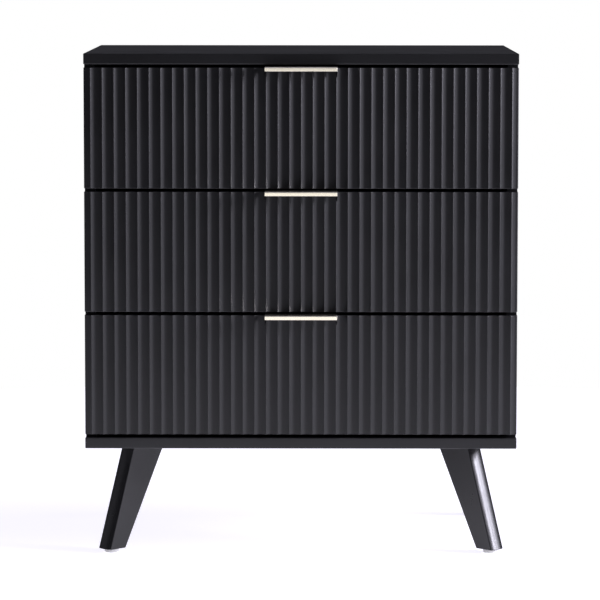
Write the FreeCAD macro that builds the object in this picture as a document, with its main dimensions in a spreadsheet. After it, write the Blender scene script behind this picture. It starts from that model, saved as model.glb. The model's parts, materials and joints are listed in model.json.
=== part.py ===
import FreeCAD, Part
import os
import Sketcher
from FreeCAD import Placement, Rotation, Vector

# Three-drawer nightstand with fluted fronts, on four splayed board legs, in millimetres.
# +Z is up and the drawers open towards -Y. The origin is on the floor, under the middle
# of the whole object, pulls included. Names that start with D_ are expressions on the sheet.

DIMENSIONS = {
    # case
    "case_width": 600,
    "case_depth": 400,
    "case_height": 548.5,
    "base_level": 151.5,
    "board": 15,
    "side_setback": 20,
    "back_thick": 3,
    "back_inset": 10,
    "groove_depth": 5,
    "play": 0.2,
    # drawer fronts
    "front_thick": 18,
    "front_gap": 4.5,
    "flute_pitch": 16.15,
    "flute_radius": 12,
    "flute_count": 38,
    # drawer boxes
    "box_board": 12,
    "box_height": 120,
    "box_length": 356,
    "box_lift": 12,
    "bottom_lift": 10,
    # pulls
    "pull_width": 100,
    "pull_reach": 22,
    "pull_drop": 4.2,
    "pull_sheet": 1.5,
    "pull_flange": 20,
    "pull_screw_spread": 35,
    # runners
    "runner_width": 12.5,
    "runner_height": 35,
    "runner_length": 350,
    "runner_steel": 1.2,
    "runner_race": 2,
    "runner_play": 0.8,
    "runner_lift": 45,
    "runner_inset": 2,
    # legs
    "leg_board": 25,
    "leg_round": 1.5,
    "leg_top_outer": 79.8,
    "leg_top_inner": 141,
    "leg_foot_outer": 33,
    "leg_foot_inner": 64,
    "leg_screw_outer": 96,
    "leg_screw_inner": 114,
    "glide_radius": 10,
    "glide_height": 5.5,
    "glide_step": 1,
    "glide_stem_radius": 2.5,
    "glide_stem_length": 12,
    # joinery and screws
    "hole_fit": 0.05,
    "pocket_fit": 0.1,
    "cam_reach": 24,
    "cam_radius": 7.4,
    "cam_depth": 12.3,
    "cam_slot": 8,
    "bolt_thread_length": 11,
    "bolt_thread_radius": 2.5,
    "bolt_shank_radius": 2.4,
    "bolt_head_radius": 3.4,
    "bolt_head_length": 6,
    "small_cam_radius": 5.9,
    "small_cam_depth": 9.4,
    "small_cam_slot": 6.4,
    "small_thread_length": 9,
    "small_shank_radius": 1.9,
    "small_head_radius": 2.8,
    "dowel_radius": 3,
    "dowel_length": 30,
    "dowel_rise": 10,
    "screw_radius": 1.75,
    "screw_length": 10,
    "screw_head_radius": 3.5,
    "screw_head_height": 1.6,
    "leg_screw_radius": 2.5,
    "leg_screw_length": 45,
    "leg_screw_head_radius": 5,
    "leg_screw_head_height": 3,
}

ROWS = ("bottom", "middle", "top")
SIDES = {"left": -1, "right": 1}
CORNERS = {
    "front_left": (-1, -1),
    "front_right": (1, -1),
    "rear_right": (1, 1),
    "rear_left": (-1, 1),
}

# Levels and planes that several sub-parts share.
D_FRONT = "(Dims.pull_reach - Dims.case_depth) / 2"
D_REAR = "(Dims.pull_reach + Dims.case_depth) / 2"
D_SIDE_FRONT = f"({D_FRONT} + Dims.side_setback)"
D_SIDE_DEPTH = "(Dims.case_depth - Dims.side_setback)"
D_HALF = "Dims.case_width / 2"
D_INNER = "(Dims.case_width / 2 - Dims.board)"
D_BASE_TOP = "(Dims.base_level + Dims.board)"
D_TOP_UNDERSIDE = "(Dims.base_level + Dims.case_height - Dims.board)"
D_SIDE_HEIGHT = "(Dims.case_height - 2 * Dims.board)"
D_FRONT_HEIGHT = "((Dims.case_height - 2 * Dims.board - 4 * Dims.front_gap) / 3)"
D_FRONT_BACK = f"({D_FRONT} + Dims.front_thick)"
D_BACK_FACE = f"({D_REAR} - Dims.back_inset - Dims.back_thick)"
D_RUNNER_START = f"({D_SIDE_FRONT} + Dims.runner_inset)"
D_BOX_OUTER = f"({D_INNER} - Dims.runner_width)"
D_BOX_INNER = f"({D_BOX_OUTER} - Dims.box_board)"
D_BOX_REAR = f"({D_FRONT_BACK} + Dims.box_length)"
D_FLUTE_CENTRE = "sqrt(Dims.flute_radius ^ 2 - (Dims.flute_pitch / 2) ^ 2)"
D_FLUTE_RUN = "((Dims.flute_count - 1) * Dims.flute_pitch)"

# Grooves and holes, with the room that each needs.
D_GROOVE_DEPTH = "(Dims.groove_depth + Dims.play)"
D_GROOVE_WIDTH = "(Dims.back_thick + 2 * Dims.play)"
D_GROOVE_REACH = f"({D_INNER} + {D_GROOVE_DEPTH})"
D_BOX_GROOVE_WIDTH = "(Dims.back_thick + Dims.play)"
D_BOX_GROOVE_REACH = f"({D_BOX_INNER} + {D_GROOVE_DEPTH})"
D_THREAD_HOLE = "(Dims.bolt_thread_radius + Dims.hole_fit)"
D_SMALL_THREAD_DEPTH = "(Dims.small_thread_length + Dims.play)"
D_DOWEL_HOLE = "(Dims.dowel_radius + Dims.hole_fit)"
D_PILOT_HOLE = "(Dims.screw_radius + Dims.hole_fit)"
D_SMALL_HEAD_BORE = "(Dims.small_head_radius + Dims.play)"
D_SMALL_POCKET = "(Dims.small_cam_radius + Dims.pocket_fit)"
D_SMALL_POCKET_DEPTH = "(Dims.small_cam_depth + Dims.pocket_fit)"

# Places that repeat, as distances along a board.
CASE_CAM_DEPTHS = (60, 320)
CASE_DOWEL_DEPTHS = (28, 348)
RUNNER_SCREW_DEPTHS = (30, 290)
DRAWER_SCREW_DEPTHS = (60, 310)
BOX_CAM_HEIGHTS = (30, 95)
LEG_SCREW_PLACES = ("Dims.leg_screw_outer", "Dims.leg_screw_inner")
FOOT_MIDDLE = "(Dims.leg_foot_outer + Dims.leg_foot_inner) / 2"

LONG_EDGE = 100  # every edge of a leg board longer than this is rounded
LEAST_CUT = 1  # cubic millimetres that a flute has to take away

X, Y, Z = Vector(1, 0, 0), Vector(0, 1, 0), Vector(0, 0, 1)


def turned(x_axis, z_axis):
    """The rotation that sends +X along x_axis and +Z along z_axis."""
    return Rotation(x_axis, z_axis.cross(x_axis), z_axis, "ZXY")


AIMS = {
    "+X": turned(-Z, X),
    "-X": turned(Z, -X),
    "+Y": turned(X, Y),
    "-Y": turned(X, -Y),
    "+Z": turned(X, Z),
    "-Z": turned(X, -Z),
}


def way(axis, sign):
    """The name of the row direction along X, Y or Z."""
    return f"+{axis}" if sign > 0 else f"-{axis}"


# ---------------------------------------------------------------- document helpers

def make_sheet(doc):
    """The spreadsheet that holds every driving dimension under its alias."""
    sheet = doc.addObject("Spreadsheet::Sheet", "Dims")
    for row, (alias, value) in enumerate(DIMENSIONS.items(), start=1):
        sheet.set(f"A{row}", alias)
        sheet.set(f"B{row}", str(value))
        sheet.setAlias(f"B{row}", alias)
    doc.recompute()
    return sheet


def bind(thing, **formulas):
    """Ties properties of one object to formulas on the sheet."""
    for name, formula in formulas.items():
        thing.setExpression(name, formula)


def place(thing, position, rotation=None):
    """Puts an object at a position of three formulas, turned by a fixed rotation."""
    if rotation is not None:
        thing.Placement = Placement(Vector(), rotation)
    for axis, formula in zip("xyz", position):
        thing.setExpression(f"Placement.Base.{axis}", str(formula))
    return thing


def block(doc, name, size, corner):
    """A box from its least corner, with sizes along X, Y and Z."""
    box = doc.addObject("Part::Box", name)
    bind(box, Length=size[0], Width=size[1], Height=size[2])
    return place(box, corner)


def rod(doc, name, radius, length, start, aim):
    """A cylinder that runs from start along one of the six row directions."""
    cylinder = doc.addObject("Part::Cylinder", name)
    bind(cylinder, Radius=radius, Height=length)
    return place(cylinder, start, AIMS[aim])


def cut(doc, label, blank, tools):
    """The blank with all tools taken away; its Label names the sub-part."""
    piece = doc.addObject("Part::Cut", label)
    piece.Base = blank
    if len(tools) == 1:
        piece.Tool = tools[0]
        return piece
    joined = doc.addObject("Part::MultiFuse", f"{label}_tools")
    joined.Shapes = tools
    piece.Tool = joined
    return piece


def copies(doc, label, master, places):
    """Separate equal solids in one sub-part: one link to the master for each place."""
    links = []
    for number, (position, rotation) in enumerate(places):
        link = doc.addObject("App::Link", f"{label}_copy_{number}")
        link.LinkedObject = master
        links.append(place(link, position, rotation))
    group = doc.addObject("Part::Compound", label)
    group.Links = links
    return group


def origin_feature(body, role):
    """A body's own origin plane or axis."""
    return next(item for item in body.Origin.OriginFeatures if item.Role == role)


def outline(body, name, plane, points):
    """A closed sketch through points, each a pair of formulas."""
    sketch = body.newObject("Sketcher::SketchObject", name)
    sketch.AttachmentSupport = (origin_feature(body, plane), [""])
    sketch.MapMode = "FlatFace"
    spots = [Vector(measure(sketch, across), measure(sketch, along), 0) for across, along in points]
    for spot, following in zip(spots, spots[1:] + spots[:1]):
        sketch.addGeometry(Part.LineSegment(spot, following))
    for index, (spot, (across, along)) in enumerate(zip(spots, points)):
        following = (index + 1) % len(points)
        sketch.addConstraint(Sketcher.Constraint("Coincident", index, 2, following, 1))
        tie_point(sketch, index, 1, "DistanceX", across, -2)
        tie_point(sketch, index, 1, "DistanceY", along, -1)
    return sketch


def measure(sketch, formula):
    """The value of a formula on the sheet."""
    return float(sketch.evalExpression(str(formula)))


def tie_point(sketch, element, point, kind, formula, axis_line):
    """Ties one coordinate of a sketch point to a formula, or the point to the axis where it is zero."""
    value = measure(sketch, formula)
    if value == 0:
        sketch.addConstraint(Sketcher.Constraint("PointOnObject", element, point, axis_line))
        return
    number = sketch.addConstraint(Sketcher.Constraint(kind, -1, 1, element, point, value))
    sketch.setExpression(f"Constraints[{number}]", str(formula))


def padded(doc, label, plane, points, length):
    """A body with one outline padded equally to both sides of its plane."""
    body = doc.addObject("PartDesign::Body", label)
    sketch = outline(body, f"{label}_outline", plane, points)
    pad = body.newObject("PartDesign::Pad", f"{label}_pad")
    pad.Profile = sketch
    pad.SideType = "Symmetric"
    bind(pad, Length=length)
    return body


def turned_body(doc, label, profile):
    """A body with one outline turned about its own Z axis."""
    body = doc.addObject("PartDesign::Body", label)
    sketch = outline(body, f"{label}_outline", "XZ_Plane", profile)
    turning = body.newObject("PartDesign::Revolution", f"{label}_turning")
    turning.Profile = sketch
    turning.ReferenceAxis = (origin_feature(body, "Z_Axis"), [""])
    turning.Angle = 360
    return body


# ---------------------------------------------------------------- hardware masters

def stepped_pin(doc, label, steps):
    """A round pin along Z, given as (radius, from level, to level) from bottom to top."""
    profile = [("0", steps[0][1])]
    for radius, low, high in steps:
        profile.append((radius, low))
        profile.append((radius, high))
    profile.append(("0", steps[-1][2]))
    return turned_body(doc, label, profile)


def cam_lock(doc, label, radius, depth, board, slot):
    """A round cam let into a face, with the slot that its bolt's head enters along +X."""
    drum = rod(doc, f"{label}_drum", radius, depth, ("0", "0", "0"), "-Z")
    slot_size = (f"{radius} + {slot} / 2", slot, slot)
    slot_corner = (f"-{slot} / 2", f"-{slot} / 2", f"-({board} + {slot}) / 2")
    return cut(doc, label, drum, [block(doc, f"{label}_slot", slot_size, slot_corner)])


def make_masters(doc):
    """One of each bought-in piece, standing at the origin, for the groups to copy."""
    head_start = "(Dims.cam_reach - Dims.bolt_head_length / 2)"
    head_end = "(Dims.cam_reach + Dims.bolt_head_length / 2)"
    cam_sizes = ("Dims.cam_radius", "Dims.cam_depth", "Dims.board", "Dims.cam_slot")
    small_sizes = ("Dims.small_cam_radius", "Dims.small_cam_depth", "Dims.box_board", "Dims.small_cam_slot")
    return {
        "cam": cam_lock(doc, "cam_master", *cam_sizes),
        "cam_bolt": stepped_pin(doc, "cam_bolt_master", (
            ("Dims.bolt_thread_radius", "-Dims.bolt_thread_length", "0"),
            ("Dims.bolt_shank_radius", "0", head_start),
            ("Dims.bolt_head_radius", head_start, head_end),
        )),
        "small_cam": cam_lock(doc, "small_cam_master", *small_sizes),
        "small_bolt": stepped_pin(doc, "small_bolt_master", (
            ("Dims.bolt_thread_radius", "-Dims.small_thread_length", "0"),
            ("Dims.small_shank_radius", "0", head_start),
            ("Dims.small_head_radius", head_start, head_end),
        )),
        "dowel": stepped_pin(doc, "dowel_master", (
            ("Dims.dowel_radius", "0", "Dims.dowel_length"),
        )),
        "screw": stepped_pin(doc, "screw_master", (
            ("Dims.screw_radius", "-Dims.screw_length", "0"),
            ("Dims.screw_head_radius", "0", "Dims.screw_head_height"),
        )),
        "leg_screw": stepped_pin(doc, "leg_screw_master", (
            ("Dims.leg_screw_radius", "-Dims.leg_screw_length", "0"),
            ("Dims.leg_screw_head_radius", "0", "Dims.leg_screw_head_height"),
        )),
        "glide": stepped_pin(doc, "glide_master", (
            ("Dims.glide_radius - Dims.glide_step", "0", "Dims.glide_step"),
            ("Dims.glide_radius", "Dims.glide_step", "Dims.glide_height"),
            ("Dims.glide_stem_radius", "Dims.glide_height", "Dims.glide_height + Dims.glide_stem_length"),
        )),
    }


# ---------------------------------------------------------------- places in the case

def depth_from_side_front(distance):
    return f"{D_SIDE_FRONT} + {distance}"


def runner_depth(distance):
    return f"{D_RUNNER_START} + {distance}"


def front_level(row):
    """The lower edge of one drawer front."""
    return f"({D_BASE_TOP} + Dims.front_gap + {row} * ({D_FRONT_HEIGHT} + Dims.front_gap))"


def box_level(row):
    return f"({front_level(row)} + Dims.box_lift)"


def bottom_level(row):
    """The underside of a drawer's bottom panel."""
    return f"({box_level(row)} + Dims.bottom_lift)"


def runner_level(row):
    return f"({box_level(row)} + Dims.runner_lift)"


def diagonal_point(corner, distance):
    """X and Y of a point on the diagonal that runs inwards from a corner of the case."""
    across, along = corner
    step = f"({distance}) / sqrt(2)"
    edge = D_FRONT if along < 0 else D_REAR
    return f"{across} * ({D_HALF} - {step})", f"{edge} - {along} * {step}"


def case_joints():
    """Each side-to-slab or side-to-base joint: side sign, its plane and 1 where the side is above it."""
    for sign in SIDES.values():
        yield sign, D_TOP_UNDERSIDE, -1
        yield sign, D_BASE_TOP, 1


# ---------------------------------------------------------------- case

def slab(doc, label, level, joint_level, inward):
    """The top slab or the base board, with its groove and joint holes; inward points into the case."""
    aim = way("Z", -inward)
    blank_size = ("Dims.case_width", "Dims.case_depth", "Dims.board")
    blank = block(doc, f"{label}_blank", blank_size, (f"-{D_HALF}", D_FRONT, level))
    groove_size = (f"2 * {D_GROOVE_REACH}", D_GROOVE_WIDTH, D_GROOVE_DEPTH)
    groove_floor = f"{joint_level} - {D_GROOVE_DEPTH}" if inward > 0 else joint_level
    groove_corner = (f"-{D_GROOVE_REACH}", f"{D_BACK_FACE} - Dims.play", groove_floor)
    tools = [block(doc, f"{label}_groove", groove_size, groove_corner)]
    for sign in SIDES.values():
        middle = f"{sign} * ({D_HALF} - Dims.board / 2)"
        for distance in CASE_CAM_DEPTHS:
            start = (middle, depth_from_side_front(distance), joint_level)
            depth = "Dims.bolt_thread_length + Dims.play"
            tools.append(rod(doc, f"{label}_bolt_hole", D_THREAD_HOLE, depth, start, aim))
        for distance in CASE_DOWEL_DEPTHS:
            start = (middle, depth_from_side_front(distance), joint_level)
            depth = "Dims.dowel_rise + Dims.play"
            tools.append(rod(doc, f"{label}_dowel_hole", D_DOWEL_HOLE, depth, start, aim))
    return blank, tools


def top_panel(doc):
    level = "Dims.base_level + Dims.case_height - Dims.board"
    blank, tools = slab(doc, "top_panel", level, D_TOP_UNDERSIDE, -1)
    return cut(doc, "top_panel", blank, tools)


def base_panel(doc):
    """The base board, also drilled for the leg screws."""
    blank, tools = slab(doc, "base_panel", "Dims.base_level", D_BASE_TOP, 1)
    for corner in CORNERS.values():
        for distance in LEG_SCREW_PLACES:
            start = (*diagonal_point(corner, distance), "Dims.base_level")
            radius = "Dims.leg_screw_radius + Dims.play"
            tools.append(rod(doc, "base_leg_hole", radius, "Dims.board", start, "+Z"))
    return cut(doc, "base_panel", blank, tools)


def side_panel(doc, side):
    """A case side: rear groove, cam pockets with their bores, dowel holes and runner pilot holes."""
    label = f"side_panel_{side}"
    sign = SIDES[side]
    face = f"{sign} * {D_INNER}"
    outward = way("X", sign)
    low_x = D_INNER if sign > 0 else f"-{D_HALF}"
    blank_size = ("Dims.board", D_SIDE_DEPTH, D_SIDE_HEIGHT)
    blank = block(doc, f"{label}_blank", blank_size, (low_x, D_SIDE_FRONT, D_BASE_TOP))
    groove_size = (D_GROOVE_DEPTH, D_GROOVE_WIDTH, D_SIDE_HEIGHT)
    groove_x = D_INNER if sign > 0 else f"-{D_GROOVE_REACH}"
    groove_corner = (groove_x, f"{D_BACK_FACE} - Dims.play", D_BASE_TOP)
    tools = [block(doc, f"{label}_groove", groove_size, groove_corner)]
    for joint_sign, joint_level, upward in case_joints():
        if joint_sign == sign:
            tools += side_joint_tools(doc, label, sign, joint_level, upward)
    for row in range(len(ROWS)):
        for distance in RUNNER_SCREW_DEPTHS:
            start = (face, runner_depth(distance), runner_level(row))
            tools.append(rod(doc, f"{label}_pilot_hole", D_PILOT_HOLE, "Dims.screw_length", start, outward))
    return cut(doc, label, blank, tools)


def side_joint_tools(doc, label, sign, joint_level, upward):
    """The cam pockets, bolt bores and dowel holes at one end of a side."""
    middle = f"{sign} * ({D_HALF} - Dims.board / 2)"
    aim = way("Z", upward)
    tools = []
    for distance in CASE_CAM_DEPTHS:
        depth = depth_from_side_front(distance)
        pocket = (f"{sign} * {D_INNER}", depth, f"{joint_level} + {upward} * Dims.cam_reach")
        tools.append(rod(doc, f"{label}_cam_pocket", "Dims.cam_radius + Dims.pocket_fit",
                         "Dims.cam_depth + Dims.pocket_fit", pocket, way("X", sign)))
        tools.append(rod(doc, f"{label}_bolt_bore", "Dims.bolt_head_radius + Dims.play",
                         "Dims.cam_reach", (middle, depth, joint_level), aim))
    for distance in CASE_DOWEL_DEPTHS:
        start = (middle, depth_from_side_front(distance), joint_level)
        tools.append(rod(doc, f"{label}_dowel_hole", D_DOWEL_HOLE,
                         "Dims.dowel_length - Dims.dowel_rise + Dims.play", start, aim))
    return tools


def back_panel(doc):
    """The thin back, held in the grooves of the slab, the base and both sides."""
    half_width = f"({D_INNER} + Dims.groove_depth)"
    size = (f"2 * {half_width}", "Dims.back_thick", f"{D_SIDE_HEIGHT} + 2 * Dims.groove_depth")
    corner = (f"-{half_width}", D_BACK_FACE, f"{D_BASE_TOP} - Dims.groove_depth")
    return block(doc, "back_panel", size, corner)


def case_joinery(doc, masters):
    """The cams, cam bolts and dowels that hold the sides between the slab and the base."""
    cams = []
    bolts = []
    dowels = []
    for sign, joint_level, upward in case_joints():
        middle = f"{sign} * ({D_HALF} - Dims.board / 2)"
        aim = AIMS[way("Z", upward)]
        for distance in CASE_CAM_DEPTHS:
            depth = depth_from_side_front(distance)
            cam_centre = (f"{sign} * {D_INNER}", depth, f"{joint_level} + {upward} * Dims.cam_reach")
            cams.append((cam_centre, turned(-Z * upward, -X * sign)))
            bolts.append(((middle, depth, joint_level), aim))
        for distance in CASE_DOWEL_DEPTHS:
            dowel_end = f"{joint_level} - {upward} * Dims.dowel_rise"
            dowels.append(((middle, depth_from_side_front(distance), dowel_end), aim))
    return [
        copies(doc, "carcass_cams", masters["cam"], cams),
        copies(doc, "carcass_cam_bolts", masters["cam_bolt"], bolts),
        copies(doc, "carcass_dowels", masters["dowel"], dowels),
    ]


# ---------------------------------------------------------------- legs

def leg(doc, name):
    """A tapered board on the case's diagonal, splayed outwards, with rounded long edges."""
    label = f"leg_{name}"
    corner = CORNERS[name]
    body = padded(doc, f"{label}_board", "XZ_Plane", (
        ("Dims.leg_foot_outer", "Dims.glide_height"),
        ("Dims.leg_foot_inner", "Dims.glide_height"),
        ("Dims.leg_top_inner", "Dims.base_level"),
        ("Dims.leg_top_outer", "Dims.base_level"),
    ), "Dims.leg_board")
    inwards = Vector(-corner[0], -corner[1], 0).normalize()
    place(body, (*diagonal_point(corner, "0"), "0"), turned(inwards, Z))
    doc.recompute()
    pad = body.Tip
    edges = enumerate(pad.Shape.Edges, start=1)
    rounding = body.newObject("PartDesign::Fillet", f"{label}_rounding")
    rounding.Base = (pad, [f"Edge{number}" for number, edge in edges if edge.Length > LONG_EDGE])
    bind(rounding, Radius="Dims.leg_round")
    stem_start = (*diagonal_point(corner, FOOT_MIDDLE), "Dims.glide_height")
    tools = [rod(doc, f"{label}_stem_hole", "Dims.glide_stem_radius + Dims.hole_fit",
                 "Dims.glide_stem_length + Dims.play", stem_start, "+Z")]
    for distance in LEG_SCREW_PLACES:
        start = (*diagonal_point(corner, distance), "Dims.base_level")
        tools.append(rod(doc, f"{label}_screw_hole", "Dims.leg_screw_radius + Dims.hole_fit",
                         "Dims.leg_screw_length - Dims.board + Dims.play", start, "-Z"))
    return cut(doc, label, body, tools)


def leg_screws(doc, masters):
    """Two screws down through the base board into the top of each leg."""
    places = []
    for corner in CORNERS.values():
        for distance in LEG_SCREW_PLACES:
            places.append(((*diagonal_point(corner, distance), D_BASE_TOP), AIMS["+Z"]))
    return copies(doc, "leg_screws", masters["leg_screw"], places)


def foot_glides(doc, masters):
    """A round glide under each foot, its stem pressed into the leg."""
    places = [((*diagonal_point(corner, FOOT_MIDDLE), "0"), AIMS["+Z"]) for corner in CORNERS.values()]
    return copies(doc, "foot_glides", masters["glide"], places)


# ---------------------------------------------------------------- runners

def channel(web_outer, web_inner, flange_end, half_height):
    """The outline of a channel: across from the case side, up from the runner's middle."""
    inner_half = f"({half_height} - Dims.runner_steel)"
    return (
        (web_outer, f"-{half_height}"),
        (flange_end, f"-{half_height}"),
        (flange_end, f"-{inner_half}"),
        (web_inner, f"-{inner_half}"),
        (web_inner, inner_half),
        (flange_end, inner_half),
        (flange_end, half_height),
        (web_outer, half_height),
    )


HALF_CABINET = "(Dims.runner_height / 2)"
HALF_MIDDLE = f"({HALF_CABINET} - Dims.runner_steel - Dims.runner_race)"
HALF_DRAWER = f"({HALF_MIDDLE} - Dims.runner_steel - Dims.runner_race)"
MIDDLE_WEB = "(Dims.runner_steel + Dims.screw_head_height + Dims.runner_play)"
FLANGE_END = "(Dims.runner_width - Dims.runner_steel - Dims.runner_play)"
RUNNER_MEMBERS = {
    "cabinet": ("0", "Dims.runner_steel", FLANGE_END, HALF_CABINET),
    "slider": (MIDDLE_WEB, f"{MIDDLE_WEB} + Dims.runner_steel", FLANGE_END, HALF_MIDDLE),
    "drawer": ("Dims.runner_width", "Dims.runner_width - Dims.runner_steel",
               f"{MIDDLE_WEB} + Dims.runner_steel + Dims.runner_play", HALF_DRAWER),
}


def runner_member(doc, label, kind, row, side, screw_depths):
    """One channel of a three-section runner, drilled where its screws go through the web."""
    sign = SIDES[side]
    case_face = f"{sign} * {D_INNER}"
    body_label = f"{label}_channel" if screw_depths else label
    body = padded(doc, body_label, "XZ_Plane", channel(*RUNNER_MEMBERS[kind]), "Dims.runner_length")
    middle = (case_face, f"{D_RUNNER_START} + Dims.runner_length / 2", runner_level(row))
    place(body, middle, turned(-X * sign, Z))
    if not screw_depths:
        return body
    tools = []
    for distance in screw_depths:
        start = (case_face, runner_depth(distance), runner_level(row))
        tools.append(rod(doc, f"{label}_screw_hole", "Dims.screw_radius + Dims.play",
                         "Dims.runner_width", start, way("X", -sign)))
    return cut(doc, label, body, tools)


def cabinet_runners(doc, masters):
    """The case side of all six runners, with the screws that hold them."""
    members = []
    screws = []
    for row, name in enumerate(ROWS):
        for side, sign in SIDES.items():
            label = f"{name}_cabinet_runner_{side}"
            members.append(runner_member(doc, label, "cabinet", row, side, RUNNER_SCREW_DEPTHS))
            web_face = f"{sign} * ({D_INNER} - Dims.runner_steel)"
            for distance in RUNNER_SCREW_DEPTHS:
                head = (web_face, runner_depth(distance), runner_level(row))
                screws.append((head, AIMS[way("X", -sign)]))
    return members + [copies(doc, "cabinet_runner_screws", masters["screw"], screws)]


# ---------------------------------------------------------------- drawers

def drawer_front(doc, name, row):
    """A fluted front: upright scallops across the whole face, a rear groove and joint holes."""
    label = f"{name}_drawer_front"
    body = doc.addObject("PartDesign::Body", f"{label}_fluted")
    edge = outline(body, f"{label}_edge", "XY_Plane", (
        (f"-{D_HALF}", "0"),
        (D_HALF, "0"),
        (D_HALF, "Dims.front_thick"),
        (f"-{D_HALF}", "Dims.front_thick"),
    ))
    slab_pad = body.newObject("PartDesign::Pad", f"{label}_slab")
    slab_pad.Profile = edge
    bind(slab_pad, Length=D_FRONT_HEIGHT)
    place(body, ("0", D_FRONT, front_level(row)))
    doc.recompute()
    solid_volume = body.Shape.Volume
    flute = body.newObject("PartDesign::Pocket", f"{label}_flute")
    flute.Profile = scallop(body, f"{label}_scallop")
    flute.Reversed = True
    bind(flute, Length=D_FRONT_HEIGHT)
    doc.recompute()
    if body.Shape.Volume > solid_volume - LEAST_CUT:
        raise RuntimeError(f"{label}: the first flute cuts nothing")
    flutes = body.newObject("PartDesign::LinearPattern", f"{label}_flutes")
    flutes.Originals = [flute]
    flutes.Direction = (origin_feature(body, "X_Axis"), [""])
    bind(flutes, Occurrences="Dims.flute_count", Length=D_FLUTE_RUN)
    body.Tip = flutes
    return cut(doc, label, body, front_tools(doc, label, row))


def scallop(body, name):
    """The circle that cuts the flute nearest to the left end of a front."""
    sketch = body.newObject("Sketcher::SketchObject", name)
    sketch.AttachmentSupport = (origin_feature(body, "XY_Plane"), [""])
    sketch.MapMode = "FlatFace"
    across = f"-{D_FLUTE_RUN} / 2"
    along = f"-{D_FLUTE_CENTRE}"
    radius = measure(sketch, "Dims.flute_radius")
    centre = Vector(measure(sketch, across), measure(sketch, along), 0)
    sketch.addGeometry(Part.Circle(centre, Z, radius))
    tie_point(sketch, 0, 3, "DistanceX", across, -2)
    tie_point(sketch, 0, 3, "DistanceY", along, -1)
    number = sketch.addConstraint(Sketcher.Constraint("Radius", 0, radius))
    sketch.setExpression(f"Constraints[{number}]", "Dims.flute_radius")
    return sketch


def front_tools(doc, label, row):
    """The bottom panel's groove and the blind holes in a drawer front's rear face."""
    groove_size = (f"2 * {D_BOX_GROOVE_REACH}", D_GROOVE_DEPTH, D_BOX_GROOVE_WIDTH)
    groove_corner = (f"-{D_BOX_GROOVE_REACH}", f"{D_FRONT_BACK} - {D_GROOVE_DEPTH}", bottom_level(row))
    tools = [block(doc, f"{label}_groove", groove_size, groove_corner)]
    for sign in SIDES.values():
        middle = f"{sign} * ({D_BOX_OUTER} - Dims.box_board / 2)"
        for rise in BOX_CAM_HEIGHTS:
            start = (middle, D_FRONT_BACK, f"{box_level(row)} + {rise}")
            tools.append(rod(doc, f"{label}_bolt_hole", D_THREAD_HOLE, D_SMALL_THREAD_DEPTH, start, "-Y"))
        start = (f"{sign} * Dims.pull_screw_spread", D_FRONT_BACK, pull_screw_level(row))
        tools.append(rod(doc, f"{label}_pull_hole", D_PILOT_HOLE, "Dims.screw_length", start, "-Y"))
    return tools


def pull_screw_level(row):
    return f"({front_level(row)} + {D_FRONT_HEIGHT} - Dims.pull_flange / 2)"


def drawer_side(doc, name, row, side):
    """A drawer side: bottom groove, cam pockets at the front, bolt holes for the back, runner pilots."""
    label = f"{name}_drawer_side_{side}"
    sign = SIDES[side]
    inner = f"{sign} * {D_BOX_INNER}"
    outward = way("X", sign)
    low_x = D_BOX_INNER if sign > 0 else f"-{D_BOX_OUTER}"
    blank_size = ("Dims.box_board", "Dims.box_length", "Dims.box_height")
    blank = block(doc, f"{label}_blank", blank_size, (low_x, D_FRONT_BACK, box_level(row)))
    groove_size = (D_GROOVE_DEPTH, "Dims.box_length", D_BOX_GROOVE_WIDTH)
    groove_x = D_BOX_INNER if sign > 0 else f"-{D_BOX_GROOVE_REACH}"
    tools = [block(doc, f"{label}_groove", groove_size, (groove_x, D_FRONT_BACK, bottom_level(row)))]
    middle = f"{sign} * ({D_BOX_OUTER} - Dims.box_board / 2)"
    for rise in BOX_CAM_HEIGHTS:
        level = f"{box_level(row)} + {rise}"
        pocket = (inner, f"{D_FRONT_BACK} + Dims.cam_reach", level)
        tools.append(rod(doc, f"{label}_cam_pocket", D_SMALL_POCKET, D_SMALL_POCKET_DEPTH, pocket, outward))
        bore = (middle, D_FRONT_BACK, level)
        tools.append(rod(doc, f"{label}_bolt_bore", D_SMALL_HEAD_BORE, "Dims.cam_reach", bore, "+Y"))
        back_hole = (inner, f"{D_BOX_REAR} - Dims.box_board / 2", level)
        tools.append(rod(doc, f"{label}_back_hole", D_THREAD_HOLE, D_SMALL_THREAD_DEPTH,
                         back_hole, outward))
    for distance in DRAWER_SCREW_DEPTHS:
        start = (f"{sign} * {D_BOX_OUTER}", runner_depth(distance), runner_level(row))
        tools.append(rod(doc, f"{label}_pilot_hole", D_PILOT_HOLE,
                         "Dims.screw_length - Dims.runner_steel + Dims.play", start, way("X", -sign)))
    return cut(doc, label, blank, tools)


def drawer_back(doc, name, row):
    """The back of a drawer box: it stands on the bottom panel, between the sides."""
    label = f"{name}_drawer_back"
    height = "Dims.box_height - Dims.bottom_lift - Dims.back_thick"
    corner = (f"-{D_BOX_INNER}", f"{D_BOX_REAR} - Dims.box_board", f"{bottom_level(row)} + Dims.back_thick")
    blank = block(doc, f"{label}_blank", (f"2 * {D_BOX_INNER}", "Dims.box_board", height), corner)
    tools = []
    for sign in SIDES.values():
        for rise in BOX_CAM_HEIGHTS:
            level = f"{box_level(row)} + {rise}"
            pocket = (f"{sign} * ({D_BOX_INNER} - Dims.cam_reach)", D_BOX_REAR, level)
            tools.append(rod(doc, f"{label}_cam_pocket", D_SMALL_POCKET, D_SMALL_POCKET_DEPTH, pocket, "-Y"))
            bore = (f"{sign} * {D_BOX_INNER}", f"{D_BOX_REAR} - Dims.box_board / 2", level)
            tools.append(rod(doc, f"{label}_bolt_bore", D_SMALL_HEAD_BORE, "Dims.cam_reach",
                             bore, way("X", -sign)))
    return cut(doc, label, blank, tools)


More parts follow.
